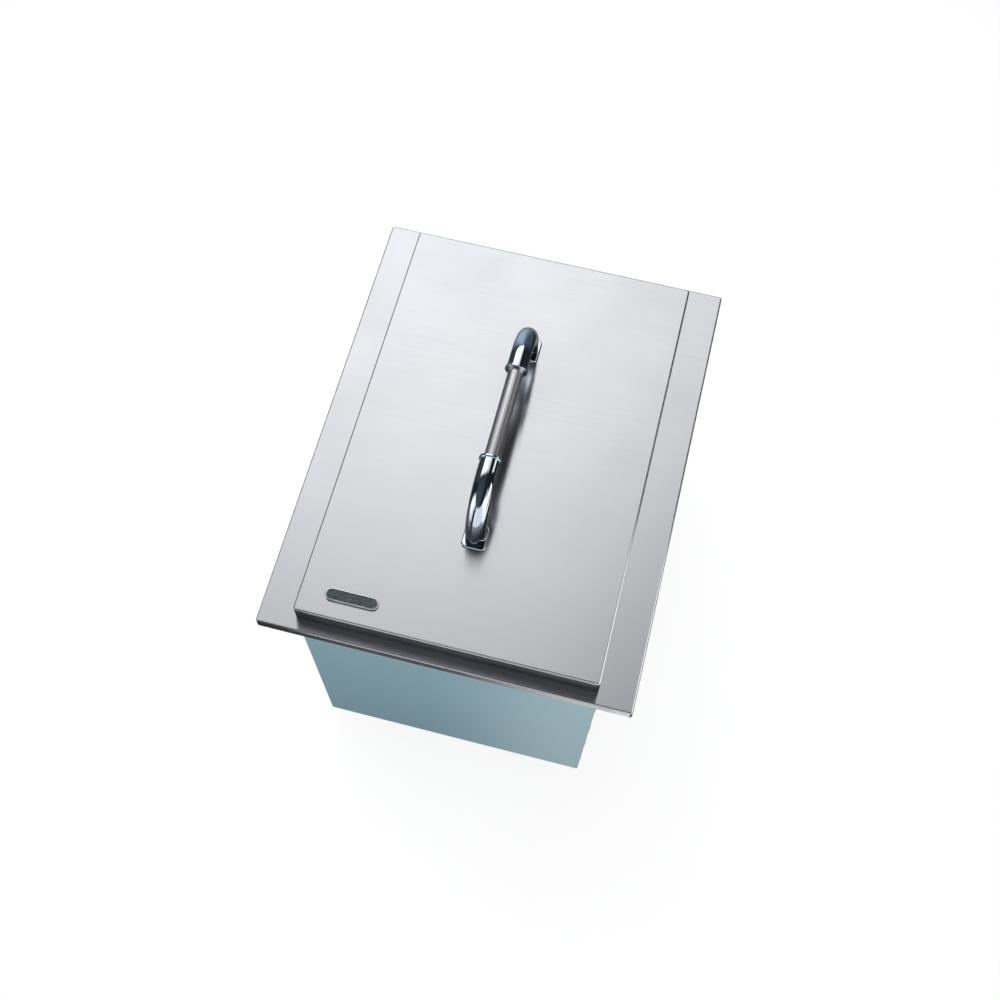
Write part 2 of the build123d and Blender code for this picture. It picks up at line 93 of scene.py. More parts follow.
class Wire:
    """An output socket in a node tree. Adding or multiplying wires and numbers adds Math nodes."""

    def __init__(self, tree, socket):
        self.tree = tree
        self.socket = socket

    def sibling(self, output):
        """Another output of the node that this wire leaves."""
        return Wire(self.tree, self.socket.node.outputs[output])

    def math(self, operation, *values):
        """A Math node on wires and numbers."""
        return self.tree.node("ShaderNodeMath", {"operation": operation}, dict(enumerate(values)))

    def __add__(self, other):
        return self.math("ADD", self, other)

    def __radd__(self, other):
        return self.math("ADD", other, self)

    def __sub__(self, other):
        return self.math("SUBTRACT", self, other)

    def __rsub__(self, other):
        return self.math("SUBTRACT", other, self)

    def __mul__(self, other):
        return self.math("MULTIPLY", self, other)

    def __rmul__(self, other):
        return self.math("MULTIPLY", other, self)

    def __truediv__(self, other):
        return self.math("DIVIDE", self, other)

    def __rtruediv__(self, other):
        return self.math("DIVIDE", other, self)

    def at_least(self, other):
        return self.math("MAXIMUM", self, other)

    def without_sign(self):
        return self.math("ABSOLUTE", self)


print("wires can be added, taken away, multiplied and divided")

# %% [markdown]
# ## One method for every other node
# The other nodes all come from one method, which takes a node's type, its settings and its inputs.
# The settings are made first, because some of them decide which inputs a node has. An input is a
# wire, which is linked, or a plain value, which is written into the socket.

# %% Trees


class Tree:
    """The node tree of a material or of the world."""

    def __init__(self, owner):
        owner.use_nodes = True
        self.nodes = owner.node_tree.nodes
        self.links = owner.node_tree.links
        self.nodes.clear()

    def node(self, kind, settings=None, inputs=None, output=0):
        """A new node, first its settings and then its inputs, as the wire of one output."""
        made = self.nodes.new(kind)
        for name, value in (settings or {}).items():
            if name == "stops":
                self.set_stops(made.color_ramp, value)
            else:
                setattr(made, name, value)
        for name, value in (inputs or {}).items():
            if isinstance(value, Wire):
                self.links.new(value.socket, made.inputs[name])
            else:
                made.inputs[name].default_value = value
        return Wire(self, made.outputs[output] if made.outputs else None)

    def set_stops(self, ramp, stops):
        """Gives a colour ramp its positions and colours."""
        while len(ramp.elements) < len(stops):
            ramp.elements.new(1.0)
        for element, (position, colour) in zip(ramp.elements, stops):
            element.position = position
            element.color = (*colour, 1.0)


print("trees take nodes by type, settings and inputs")

# %% [markdown]
# ## Places and clouds
# A pattern is read at a place on the piece. Object coordinates are metres in the bin's own frame,
# so a grain that is a tenth of a millimetre wide is written as that, and it stays put when a piece
# moves. Real metal, paint and rubber are never quite even, and soft random clouds of the right size
# stand for grain, wear and ripple alike. A texture could be painted by hand, but a noise has no
# edges or repeats.

# %% Places and clouds


def place_on(tree, stretch=(1.0, 1.0, 1.0)):
    """Where a point lies on the piece, in metres, stretched where a pattern is longer one way."""
    where = tree.node("ShaderNodeTexCoord", output="Object")
    inputs = {"Vector": where, "Scale": stretch}
    return tree.node("ShaderNodeMapping", {"vector_type": "POINT"}, inputs)


def axes(vector):
    """The three numbers of a vector."""
    first = vector.tree.node("ShaderNodeSeparateXYZ", None, {0: vector})
    return first, first.sibling(1), first.sibling(2)


def noise(where, size_mm, detail=2.0, roughness=0.5):
    """Soft random clouds of about the given size, from 0 to 1."""
    inputs = {
        "Vector": where,
        "Scale": 1.0 / (size_mm * MM),
        "Detail": detail,
        "Roughness": roughness,
    }
    return where.tree.node("ShaderNodeTexNoise", None, inputs)


print("places and clouds: place_on, axes, noise")

# %% [markdown]
# ## Slopes, swings, blends and bumps
# Four more words turn a cloud or a height into a look. A slope picks out where a number is high, a
# swing lets the roughness follow a cloud, a blend gives a share its colour, and a bump tilts the
# surface. Writing the nodes out in every material would work too, but the recipes would be hard to
# read.

# %% Slopes, swings, blends and bumps
CLOUD_MIDDLE = 0.5
MIX_FIRST_COLOUR = 6
MIX_SECOND_COLOUR = 7
MIX_RESULT_COLOUR = 2


def slope(value, low, high, at_low=0.0, at_high=1.0):
    """A value that eases from one number to another while its input goes from low to high."""
    inputs = {
        "Value": value,
        "From Min": low,
        "From Max": high,
        "To Min": at_low,
        "To Max": at_high,
    }
    return value.tree.node("ShaderNodeMapRange", {"interpolation_type": "SMOOTHSTEP"}, inputs)


def within(value, low, high, soft):
    """A share that is 1 between two limits and falls to 0 outside them over a soft edge."""
    return slope(value, low - soft, low + soft) * slope(value, high - soft, high + soft, 1.0, 0.0)


def swing(cloud, width):
    """A number that goes up and down with a cloud, about zero and over the given width."""
    return (cloud - CLOUD_MIDDLE) * width


def blend_colours(share, first, second):
    """One colour where the share is 0 and the other where it is 1."""
    inputs = {
        "Factor": share,
        MIX_FIRST_COLOUR: (*first, 1.0),
        MIX_SECOND_COLOUR: (*second, 1.0),
    }
    return share.tree.node("ShaderNodeMix", {"data_type": "RGBA"}, inputs, MIX_RESULT_COLOUR)


def bump(height, depth_mm, under=None):
    """A surface normal tilted by a height pattern of the given depth, on top of another one."""
    inputs = {"Height": height, "Distance": depth_mm * MM}
    if under:
        inputs["Normal"] = under
    return height.tree.node("ShaderNodeBump", None, inputs)


print("slopes, swings, blends and bumps: slope, within, swing, blend_colours, bump")

# %% [markdown]
# ## Making and putting on a finish
# A finish is a function that returns the sockets of the metal-and-paint shader. Keeping it a
# function means that each one reads like a recipe, and that two pieces with one finish share one
# material.

# %% Making and putting on a finish


def finish(name, recipe):
    """A material whose shader is described by a function that returns its sockets."""
    material = bpy.data.materials.new(name)
    tree = Tree(material)
    surface = tree.node("ShaderNodeBsdfPrincipled", None, recipe(tree))
    tree.node("ShaderNodeOutputMaterial", None, {"Surface": surface})
    print(name, "has", len(tree.nodes), "nodes")
    return material


dressed = set()


def dress(material, *names):
    """Puts a finish on solids of the frame."""
    for name in names:
        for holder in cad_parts[name].material_slots:
            holder.material = material
        dressed.add(name)


print("solids to dress:", len(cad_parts))

# %% [markdown]
# ## Brushed sheet
# The flange and the lid are stainless sheet with a grain that was ground in across the bin's width.
# Each scratch mirrors sharply along itself and smears everything across itself, so the dark skirt
# of the lid is drawn out into a band on the flange. Real scratches could be modelled, but they are
# far finer than a pixel, so the smear is the shader's anisotropy. Its direction is a fixed vector:
# front to back on the flat tops, and up and down on the folded front and back. Faint streaks,
# clouds and the slight waviness of thin sheet keep the wide surface from looking like glass. The
# sheet was ground before it was folded, so on the left and right folds the grain runs up and down.
# The lid's folded skirt has painted shade in its colour, darker towards its lower edge, where it
# stands close over the flange.

# %% Brushed sheet
SMEAR_DIRECTION = (0.0, 1.0, 0.12)
FLANGE_SIDE, _, FLANGE_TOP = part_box("top_flange")[1]
LID_SIDE, _, LID_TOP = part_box("lid_outer_pan")[1]
FOLD_FROM = 2.0 * MM
FOLD_TO = 0.8 * MM
SKIRT_FROM = FLANGE_TOP + 1.0 * MM
SKIRT_TO = LID_TOP - 2.5 * MM
SKIRT_SOFT = 0.8 * MM
# painted shade on the lid's skirt: its colour is darkened most at the foot, just over the flange
SKIRT_SHADE_FROM = FLANGE_TOP + 2.0 * MM
SKIRT_SHADE_TO = FLANGE_TOP + 14.0 * MM
SKIRT_SHADE_LOW = 0.75
SKIRT_SHADE_HIGH = 0.50
ALONG_GRAIN = 0.015
UPRIGHT_GRAIN = 0.98
GROUND_LEAST = 0.89
GROUND_VARIES = 0.055
STEEL_DARKEST = (0.062, 0.060, 0.059)
STEEL_BRIGHT = (0.790, 0.787, 0.786)


def on_fold(across, side):
    """A share that is 1 on the fold at a sheet's left or right side."""
    return slope(across, side - FOLD_FROM, side - FOLD_TO)


def brushed_sheet(tree):
    """Sheet with a smear along one direction and a grain across it, with painted shade on the lid's
    skirt.
    """
    x, y, height = axes(place_on(tree))
    skirt = within(height, SKIRT_FROM, SKIRT_TO, SKIRT_SOFT)
    lid_folds = on_fold(x.without_sign(), LID_SIDE) * skirt
    side_folds = lid_folds + on_fold(x.without_sign(), FLANGE_SIDE)
    along_grain = {0: x * ALONG_GRAIN, 1: y, 2: height * (1.0 - side_folds * UPRIGHT_GRAIN)}
    ground_place = tree.node("ShaderNodeCombineXYZ", None, along_grain)
    fine = noise(ground_place, size_mm=0.22, detail=3.0, roughness=0.6)
    streaks = noise(ground_place, size_mm=1.6)
    clouds = noise(place_on(tree), size_mm=90.0, detail=1.0)
    waves = bump(noise(place_on(tree), size_mm=140.0, detail=0.0), depth_mm=0.10)
    # painted shade: the skirt's colour grows darker towards its lower edge
    skirt_shade = skirt * slope(height, SKIRT_SHADE_FROM, SKIRT_SHADE_TO, SKIRT_SHADE_LOW, SKIRT_SHADE_HIGH)
    grain_and_shade = (GROUND_LEAST + streaks * GROUND_VARIES + fine * GROUND_VARIES) * (1.0 - skirt_shade)
    return {
        "Base Color": blend_colours(grain_and_shade, STEEL_DARKEST, STEEL_BRIGHT),
        "Metallic": 1.0,
        "Roughness": 0.23 + swing(streaks, 0.06) + swing(clouds, 0.03),
        "Anisotropic": 1.0,
        "Tangent": tree.node("ShaderNodeCombineXYZ", None, dict(enumerate(SMEAR_DIRECTION))),
        "Normal": bump(fine, depth_mm=0.004, under=waves),
    }


dress(finish("brushed_sheet", brushed_sheet), "top_flange", "lid_outer_pan")

# %% [markdown]
# ## Satin sheet
# The tub and the underside of the lid are made of the same steel but left satin, so they look even
# in every direction: no smear, only a softer gloss. Forming and welding leave faint cloudy
# differences in gloss, and ice scoops leave short hair scratches. The scratches could be drawn one
# by one, but a stretched noise that is cut off high leaves short thin marks by itself.

# %% Satin sheet
SATIN_GREY = (0.76, 0.77, 0.78)
SATIN_PALE = (0.83, 0.84, 0.85)
HAIR_STRETCH = (0.06, 1.0, 0.5)
HAIR_CUT = (0.66, 0.72)


def satin_sheet(tree):
    """Sheet with an even soft gloss and a few hair scratches."""
    fine = noise(place_on(tree), size_mm=0.5, detail=3.0, roughness=0.6)
    clouds = noise(place_on(tree), size_mm=60.0)
    hairs = slope(noise(place_on(tree, HAIR_STRETCH), size_mm=1.2, detail=1.0), *HAIR_CUT)
    return {
        "Base Color": blend_colours(clouds, SATIN_GREY, SATIN_PALE),
        "Metallic": 0.85,
        "Roughness": 0.34 + swing(clouds, 0.10) + swing(fine, 0.08) + hairs * 0.10,
        "Normal": bump(fine, depth_mm=0.004, under=bump(hairs, depth_mm=0.01)),
    }


dress(finish("satin_sheet", satin_sheet), "liner_tub", "lid_inner_pan")

# %% [markdown]
# ## Casing paint
# The outer casing is thin sheet with a baked coat of pale blue-green paint. Baked paint dries with
# a fine orange-peel ripple, about a millimetre across, and that is what softens its gloss. A bump
# from one small noise gives the ripple, and wide clouds and a few paler specks vary the colour a
# little, as a real coat does.

# %% Casing paint
PAINT_DEEP = (0.154, 0.252, 0.283)
PAINT_PALE = (0.174, 0.279, 0.311)
SPECK_CUT = (0.74, 0.80)
SPECK_SHARE = 0.4


def casing_paint(tree):
    """Baked paint with an orange-peel ripple."""
    peel = noise(place_on(tree), size_mm=1.2, detail=1.0)
    clouds = noise(place_on(tree), size_mm=120.0)
    specks = slope(noise(place_on(tree), size_mm=2.5, detail=0.0), *SPECK_CUT)
    return {
        "Base Color": blend_colours(clouds + specks * SPECK_SHARE, PAINT_DEEP, PAINT_PALE),
        "Roughness": 0.38 + swing(clouds, 0.08),
        "Normal": bump(peel, depth_mm=0.006),
    }


panels = ["casing_" + side + "_panel" for side in ("front", "back", "left", "right")]
dress(finish("casing_paint", casing_paint), "casing_bottom_pan", *panels)

# %% [markdown]
# ## Chrome
# The cast elbows and foot plates of the handle, and the drain, are plated with bright chrome. It
# mirrors almost perfectly and is a little bluer than steel. Hands polish it unevenly, so a cloudy
# pattern moves its roughness by a few hundredths, which is enough to break a perfect reflection.

# %% Chrome
CHROME_BLUE = (0.66, 0.72, 0.77)
CHROME_PALE = (0.74, 0.79, 0.83)


def chrome_plate(tree):
    """A nearly perfect mirror, polished a little unevenly."""
    clouds = noise(place_on(tree), size_mm=14.0)
    return {
        "Base Color": blend_colours(clouds, CHROME_BLUE, CHROME_PALE),
        "Metallic": 1.0,
        "Roughness": 0.03 + clouds * 0.03,
    }


elbows = ["handle_front_elbow", "handle_rear_elbow"]
foot_plates = ["handle_front_foot_plate", "handle_rear_foot_plate"]
dress(finish("chrome_plate", chrome_plate), "drain_body", *elbows, *foot_plates)

# %% [markdown]
# ## Grip tube
# The grip is a steel tube that was polished lengthwise with a coarse belt. Its scratches run along
# it, so what it mirrors is smeared round it, and each coarser scratch stands out as a thin line
# from elbow to elbow. The smear's direction is therefore the bin's width, and the lines are a noise
# that is stretched a hundred times along the tube. The top and sides keep the bright steel colour,
# while the underside has painted shade in its colour, dark and brownish, which shows in the lid
# below it.

# %% Grip tube
grip_low, grip_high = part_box("handle_grip_tube")
GRIP_MIDDLE = (grip_low[2] + grip_high[2]) / 2
# painted shade: below the tube's middle its colour turns dark and brownish
UNDERSIDE_SHADE_FROM = GRIP_MIDDLE - 5.5 * MM
UNDERSIDE_SHADE_TO = GRIP_MIDDLE - 1.5 * MM
TUBE_DARKEST = (0.060, 0.046, 0.037)
TUBE_BRIGHT = (0.78, 0.77, 0.77)
LINE_STRETCH = (1.0, 0.01, 1.0)
LINE_CUT = (0.36, 0.64)
LINE_SHARE = 0.50
FINE_STRETCH = (1.0, 0.02, 1.0)


def satin_tube(tree):
    """A tube with lines along it and a smear round it, with painted shade on its underside."""
    belt = noise(place_on(tree, LINE_STRETCH), size_mm=1.6, detail=3.0, roughness=0.7)
    lines = slope(belt, *LINE_CUT)
    fine = noise(place_on(tree, FINE_STRETCH), size_mm=0.25)
    # painted shade on the underside: the colour darkens below the middle of the tube
    unshaded_top = slope(axes(place_on(tree))[2], UNDERSIDE_SHADE_FROM, UNDERSIDE_SHADE_TO)
    lines_and_shade = unshaded_top * ((1.0 - LINE_SHARE) + lines * LINE_SHARE)
    return {
        "Base Color": blend_colours(lines_and_shade, TUBE_DARKEST, TUBE_BRIGHT),
        "Metallic": 1.0,
        "Roughness": 0.30 + unshaded_top * 0.08 + swing(fine, 0.06),
        "Anisotropic": 0.6,
        "Tangent": tree.node("ShaderNodeCombineXYZ", None, {0: 1.0}),
        "Normal": bump(fine, depth_mm=0.003),
    }


dress(finish("satin_tube", satin_tube), "handle_grip_tube")

# %% [markdown]
# ## Badge
# A small plate is set on the lid's front left corner: a cast tray with a polished rim and black
# sides, and a blackened field with a fine pebble grain inside. The black of the sides is partly
# painted shade, for the dark edge round the badge. It stays blank. The rim is told from the sides
# by its height above the worktop, so one material does both, and the pebbles are a bump with the
# raised tops rubbed a little brighter.

# %% Badge
BADGE_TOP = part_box("badge_plate")[1][2]
RIM_FROM = BADGE_TOP - 0.8 * MM
RIM_TO = BADGE_TOP - 0.5 * MM
RIM_BRIGHT = (0.93, 0.94, 0.95)
# partly painted shade: the badge's sides are black, for the dark edge round it
SIDES_SHADE_BLACK = (0.012, 0.014, 0.017)
FIELD_BLACK = (0.009, 0.014, 0.017)
FIELD_RUBBED = (0.15, 0.17, 0.18)
FLECK_CUT = (0.54, 0.68)


def badge_rim(tree):
    """A polished rim over black sides, whose black is partly painted shade."""
    height = axes(place_on(tree))[2]
    polished = slope(height, RIM_FROM, RIM_TO)
    wear = noise(place_on(tree), size_mm=1.5)
    return {
        "Base Color": blend_colours(polished, SIDES_SHADE_BLACK, RIM_BRIGHT),
        "Metallic": polished,
        "Roughness": 0.40 - polished * 0.20 + swing(wear, 0.06),
    }


def badge_field(tree):
    """A blackened field of fine pebbles with rubbed tops."""
    pebbles = noise(place_on(tree), size_mm=1.0, detail=1.0)
    flecks = slope(pebbles, *FLECK_CUT)
    return {
        "Base Color": blend_colours(flecks, FIELD_BLACK, FIELD_RUBBED),
        "Roughness": 0.55 - flecks * 0.10,
        "Specular IOR Level": 0.25,
        "Normal": bump(pebbles, depth_mm=0.15),
    }


dress(finish("badge_rim", badge_rim), "badge_plate")
dress(finish("badge_field", badge_field), "badge_inlay")
print("badge top lies", round(BADGE_TOP / MM, 2), "mm above the worktop")

# %% [markdown]
# ## Rubber, foam and fibre
# The gasket under the lid and the seals of the drain are black rubber. The space round the tub and
# inside the lid is filled with pale yellow foam, whose cut faces show open cells, and the washer
# under the drain's nut is pressed red fibre. All three are matt, so a small noise in colour,
# roughness and height is what tells them apart from flat plastic.

# %% Rubber, foam and fibre
RUBBER_BLACK = (0.014, 0.014, 0.015)
RUBBER_GREY = (0.030, 0.030, 0.031)
FOAM_YELLOW = (0.72, 0.62, 0.40)
FOAM_PALE = (0.80, 0.72, 0.52)
FIBRE_DARK = (0.24, 0.035, 0.020)
FIBRE_RED = (0.36, 0.07, 0.04)
STRAND_STRETCH = (1.0, 0.2, 1.0)


def black_rubber(tree):
    """Matt rubber with a fine grain."""
    grain = noise(place_on(tree), size_mm=0.6)
    return {
        "Base Color": blend_colours(grain, RUBBER_BLACK, RUBBER_GREY),
        "Roughness": 0.62 + grain * 0.16,
        "Normal": bump(grain, depth_mm=0.02),
    }


def foam(tree):
    """Rigid foam with open cells."""
    cells = noise(place_on(tree), size_mm=0.8)
    clouds = noise(place_on(tree), size_mm=40.0)
    return {
        "Base Color": blend_colours(clouds, FOAM_YELLOW, FOAM_PALE),
        "Roughness": 0.85 + cells * 0.1,
        "Normal": bump(cells, depth_mm=0.15),
    }


def fibre(tree):
    """Pressed fibre, its strands longer one way."""
    strands = noise(place_on(tree, STRAND_STRETCH), size_mm=0.5)
    return {
        "Base Color": blend_colours(strands, FIBRE_DARK, FIBRE_RED),
        "Roughness": 0.70 + strands * 0.1,
        "Normal": bump(strands, depth_mm=0.02),
    }


foams = [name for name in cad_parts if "insulation" in name or "foam" in name]
dress(finish("black_rubber", black_rubber), "lid_gasket", "drain_gasket", "drain_grommet")
dress(finish("foam", foam), *foams)
dress(finish("fibre_washer", fibre), "drain_slip_washer")

# %% [markdown]
# ## Small metal pieces
# The rivets are soft aluminium, the drain's nut is turned brass, its strainer is stamped steel, and
# the plates, washers and screws under the handle are zinc plated. They differ in tint and gloss but
# are built up alike, so one recipe takes both colours, the roughness and the size of the grain.

# %% Small metal pieces


def small_metal(low, high, roughness, grain_mm):
    """A recipe for a turned, pressed or plated small piece."""

    def recipe(tree):
        clouds = noise(place_on(tree), size_mm=9.0, detail=3.0)
        grain = noise(place_on(tree), grain_mm)
        return {
            "Base Color": blend_colours(clouds, low, high),
            "Metallic": 1.0,
            "Roughness": roughness + swing(clouds, 0.12),
            "Normal": bump(grain, depth_mm=0.01),
        }

    return recipe


brass = small_metal((0.60, 0.40, 0.15), (0.72, 0.52, 0.22), 0.28, 0.6)
aluminium = small_metal((0.62, 0.63, 0.64), (0.72, 0.73, 0.74), 0.35, 0.4)
stamped_steel = small_metal((0.58, 0.59, 0.60), (0.66, 0.67, 0.68), 0.26, 0.5)
zinc = small_metal((0.50, 0.52, 0.55), (0.62, 0.64, 0.66), 0.42, 0.3)
under_handle = ["handle_" + place + "_backing_plate" for place in ("front", "rear")]
under_handle += ["handle_washers", "handle_screws"]
dress(finish("drain_brass", brass), "drain_locknut")
dress(finish("rivet_metal", aluminium), "casing_rivets")
dress(finish("strainer_steel", stamped_steel), "drain_strainer")
dress(finish("zinc_steel", zinc), *under_handle)
print("solids without a finish:", sorted(set(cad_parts) - dressed))

# %% [markdown]
# ## The studio as the metal sees it
# A mirror shows what stands round it, so the studio is designed as a picture of directions. For a
# direction with up part z, its side is x / z and its depth is y / z: both are where a ray from the
# bin pierces a ceiling one metre above. A long soft panel hangs over and behind the bin, from depth
# 0.3 on, and fills the flat tops. Above the camera the studio is dark, which gives the bends their
# dark lines. Real softboxes could be placed instead, but a picture of directions is free of noise
# and moves by one number. The panel's colours are the stops of a ramp along the depth.

# %% Overhead panel
TINY = 0.05
STUDIO_DARK = (0.016, 0.018, 0.023)
OVERHEAD_STOPS = (
    (-0.60, (0.044, 0.060, 0.078)),
    (-0.10, (0.034, 0.040, 0.049)),
    (0.18, (0.026, 0.027, 0.030)),
    (0.26, (0.320, 0.328, 0.360)),
    (0.30, (0.690, 0.697, 0.760)),
    (0.34, (1.120, 1.130, 1.175)),
    (0.45, (1.380, 1.392, 1.445)),
    (0.60, (1.920, 1.935, 1.995)),
    (1.00, (1.790, 1.805, 1.870)),
    (1.12, (0.010, 0.010, 0.012)),
)
STOPS_FROM = -0.6
STOPS_TO = 1.4
PANEL_BEND = (-0.06, 0.08)
PANEL_SLANT = 0.09
PANEL_REACH = (-1.22, 0.40, 0.10)
PANEL_FADE = (-0.22, 0.45, 1.0, 0.5)


def overhead_panel(side, depth):
    """Where the panel is, and its colour there."""
    slanted = depth - slope(side, *PANEL_BEND) * PANEL_SLANT
    length = STOPS_TO - STOPS_FROM
    stops = [((at - STOPS_FROM) / length, colour) for at, colour in OVERHEAD_STOPS]
    along = (slanted - STOPS_FROM) / length
    colour = side.tree.node("ShaderNodeValToRGB", {"stops": stops}, {"Fac": along})
    return within(side, *PANEL_REACH) * slope(side, *PANEL_FADE), colour


print("overhead panel: depth", STOPS_FROM, "to", STOPS_TO, "in", len(OVERHEAD_STOPS), "stops")

# %% [markdown]
# ## Walls and band
# The bends and folds look sideways, past the panel. A blue-grey wall closes the back, the left wall
# is dim, and a pale band with a gap lies low at the front. Each of them is a share of directions
# times a colour. The limits of a share are parts of the direction or ratios of them: a slope is
# given where it begins and ends, and perhaps the shares there, and a range ends with its softness.
# They were moved until the bright and dark shapes lay where the picture has them.

# %% Walls and band
BACK_WALL = (0.38, 0.52, 0.64)
BACK_DEPTH = (1.0, 1.15)
BACK_TURNED = (0.58, 0.85)
BACK_ACROSS = (-0.35, 0.30, 1.0, 0.15)
LEFT_WALL = (0.036, 0.042, 0.048)
LEFT_ACROSS = (-0.80, -0.60, 1.0, 0.0)
LEFT_HEIGHT = (0.0, 0.62, 0.08)
LEFT_TURNED = (0.0, 0.1)
FRONT_BAND = (0.88, 0.87, 0.96)
BAND_GAP = (-0.68, -0.34, 0.02)
BAND_HEIGHT = (-0.17, 0.50, 0.06)
BAND_TURNED = (-0.42, -0.20, 1.0, 0.0)


def back_wall(x, y, depth):
    """The share of the back wall, which fades towards the right."""
    return slope(depth, *BACK_DEPTH) * slope(y, *BACK_TURNED) * slope(x, *BACK_ACROSS)


def left_wall(x, y, z):
    """The share of the left wall behind the bin's middle."""
    return slope(x, *LEFT_ACROSS) * within(z, *LEFT_HEIGHT) * slope(y, *LEFT_TURNED)


def front_band(x, y, z):
    """The share of the front band, without its gap."""
    gap = within(x / (0.0 - y).at_least(TINY), *BAND_GAP)
    return within(z, *BAND_HEIGHT) * slope(y, *BAND_TURNED) * (1.0 - gap)


print("walls and band: 3 lights")

# %% [markdown]
# ## Side panels and card
# Soft panels stand at both sides, and a narrow white card at the right draws a thin bright line
# down the edges that face it. The left panel ends sooner than the right one, so the front bend
# keeps its dark left flank. Where they begin and end is a limit on y / x, because that makes
# upright ends, as a real softbox has. One panel could be mirrored to the other side, but then both
# would end alike.

# %% Side panels and card
SIDE_PANELS = (0.62, 0.64, 0.68)
SIDES_OUT = (0.55, 0.72)
SIDES_HEIGHT = (-0.05, 0.50, 0.06)
SIDES_BEGIN = -0.9
SIDES_END = (-0.1, 0.1, -0.38, -0.08)
SIDES_SOFT = 0.06
RIGHT_CARD = (1.2, 1.2, 1.2)
CARD_OUT = (0.68, 0.74)
CARD_HEIGHT = (0.02, 0.48, 0.03)
CARD_TURNED = (0.46, 0.58, 0.02)


def side_panels(x, y, z):
    """The share of the two side panels, the left one shorter than the right one."""
    ends = slope(x, *SIDES_END)
    turned = within(y / x.without_sign().at_least(TINY), SIDES_BEGIN, ends, SIDES_SOFT)
    return slope(x.without_sign(), *SIDES_OUT) * within(z, *SIDES_HEIGHT) * turned


def right_card(x, y, z):
    """The share of the narrow card at the right."""
    turned = within(y / x.at_least(TINY), *CARD_TURNED)
    return slope(x, *CARD_OUT) * within(z, *CARD_HEIGHT) * turned


print("side panels and card: 3 lights, the left panel from", SIDES_BEGIN, "to", SIDES_END[2])

# %% [markdown]
# ## The whole studio
# One function adds the lights up, so that the world and every card that repeats it show the same
# picture. A Multiply Add node on vectors does each step: the share times the colour, plus the rest.

# %% The whole studio


def add_light(total, share, colour):
    """The light so far, with one more colour added by its share."""
    inputs = {0: share, 1: colour, 2: total}
    return share.tree.node("ShaderNodeVectorMath", {"operation": "MULTIPLY_ADD"}, inputs)


def studio(direction):
    """The colour of the studio in each direction, for what the metal mirrors."""
    x, y, z = axes(direction)
    up = z.at_least(TINY)
    side = x / up
    depth = y / up
    lights = (
        (side_panels(x, y, z), SIDE_PANELS),
        (left_wall(x, y, z), LEFT_WALL),
        overhead_panel(side, depth),
        (back_wall(x, y, depth), BACK_WALL),
        (front_band(x, y, z), FRONT_BAND),
        (right_card(x, y, z), RIGHT_CARD),
    )
    total = STUDIO_DARK
    for share, colour in lights:
        total = add_light(total, share, colour)
    return total


print("studio: ready for the world and for the ring of cards")

# %% [markdown]
# ## The world
# The world carries that picture for reflections and for soft light. The camera itself looks past
# the bin at plain white paper, so the Light Path node swaps in white where a ray comes straight
# from it or through something clear. Brushed steel scatters more light at a second reflection than
# the shader's one colour says, so what is mirrored twice, such as the fold between lid and flange,
# is dimmed.

# %% World
TWICE = 2.0
COUNT_SLACK = 0.1
SECOND_LOSS = 0.60
WHITE = (1.0, 1.0, 1.0, 1.0)

world = bpy.data.worlds.new("studio")
bpy.context.scene.world = world
tree = Tree(world)
sky_direction = tree.node("ShaderNodeTexCoord", output="Generated")
paper = tree.node("ShaderNodeBackground", None, {"Color": WHITE, "Strength": 1.0})
seen = tree.node("ShaderNodeLightPath", output="Is Camera Ray")
straight = seen + seen.sibling("Is Transmission Ray")
mirrored = seen.sibling("Glossy Depth")
left_over = 1.0 - mirrored.math("COMPARE", mirrored, TWICE, COUNT_SLACK) * SECOND_LOSS
picture = {0: studio(sky_direction), "Scale": left_over}
around = tree.node("ShaderNodeVectorMath", {"operation": "SCALE"}, picture)
lit = tree.node("ShaderNodeBackground", None, {"Color": around, "Strength": 1.0})
sky = tree.node("ShaderNodeMixShader", None, {0: straight, 1: lit, 2: paper})
tree.node("ShaderNodeOutputWorld", None, {"Surface": sky})
print("world has", len(tree.nodes), "nodes")

# %% [markdown]
# ## Props of the studio
# Photographers stand cards round a shiny thing, because it shows them. A prop is a mesh for the
# studio, and most of them glow. All but the floor are there for reflections alone: the camera, the
# shadows and the matt surfaces take no notice of them. Lamps that only metal mirrors could do the
# same, but a mesh may have any shape and colour.

# %% Props of the studio


def studio_prop(name, shape, material, only_mirrored=True):
    """A mesh for the studio from a bmesh, seen only in reflections unless told otherwise."""
    mesh = bpy.data.meshes.new(name)
    shape.to_mesh(mesh)
    shape.free()
    mesh.materials.append(material)
    prop = bpy.data.objects.new(name, mesh)
    bpy.context.scene.collection.objects.link(prop)
    for ray in ("camera", "diffuse", "shadow", "transmission"):
        setattr(prop, "visible_" + ray, not only_mirrored)
    print("prop:", name)
    return prop


def glowing(name, colour_of):
    """A material that shines with the colour that a function gives for its tree."""
    material = bpy.data.materials.new(name)
    tree = Tree(material)
    glow = tree.node("ShaderNodeEmission", None, {"Color": colour_of(tree), "Strength": 1.0})
    tree.node("ShaderNodeOutputMaterial", None, {"Surface": glow})
    return material


def pull_up(shape, edges, height):
    """Extrudes edges straight up into a wall and returns its top vertices."""
    wall = bmesh.ops.extrude_edge_only(shape, edges=edges)
    tops = [part for part in wall["geom"] if isinstance(part, bmesh.types.BMVert)]
    bmesh.ops.translate(shape, vec=(0.0, 0.0, height), verts=tops)
    return tops


print("props: studio_prop, glowing, pull_up")

# %% [markdown]
# ## Ring of cards
# The floor of the studio would hide the lower half of the picture of directions: upright sheet
# would mirror nothing but white paper. So a ring of cards stands round the bin and repeats the
# picture near the floor. It could be a set of separate boards, but a circle of edges that is pulled
# up into a wall leaves no gaps.

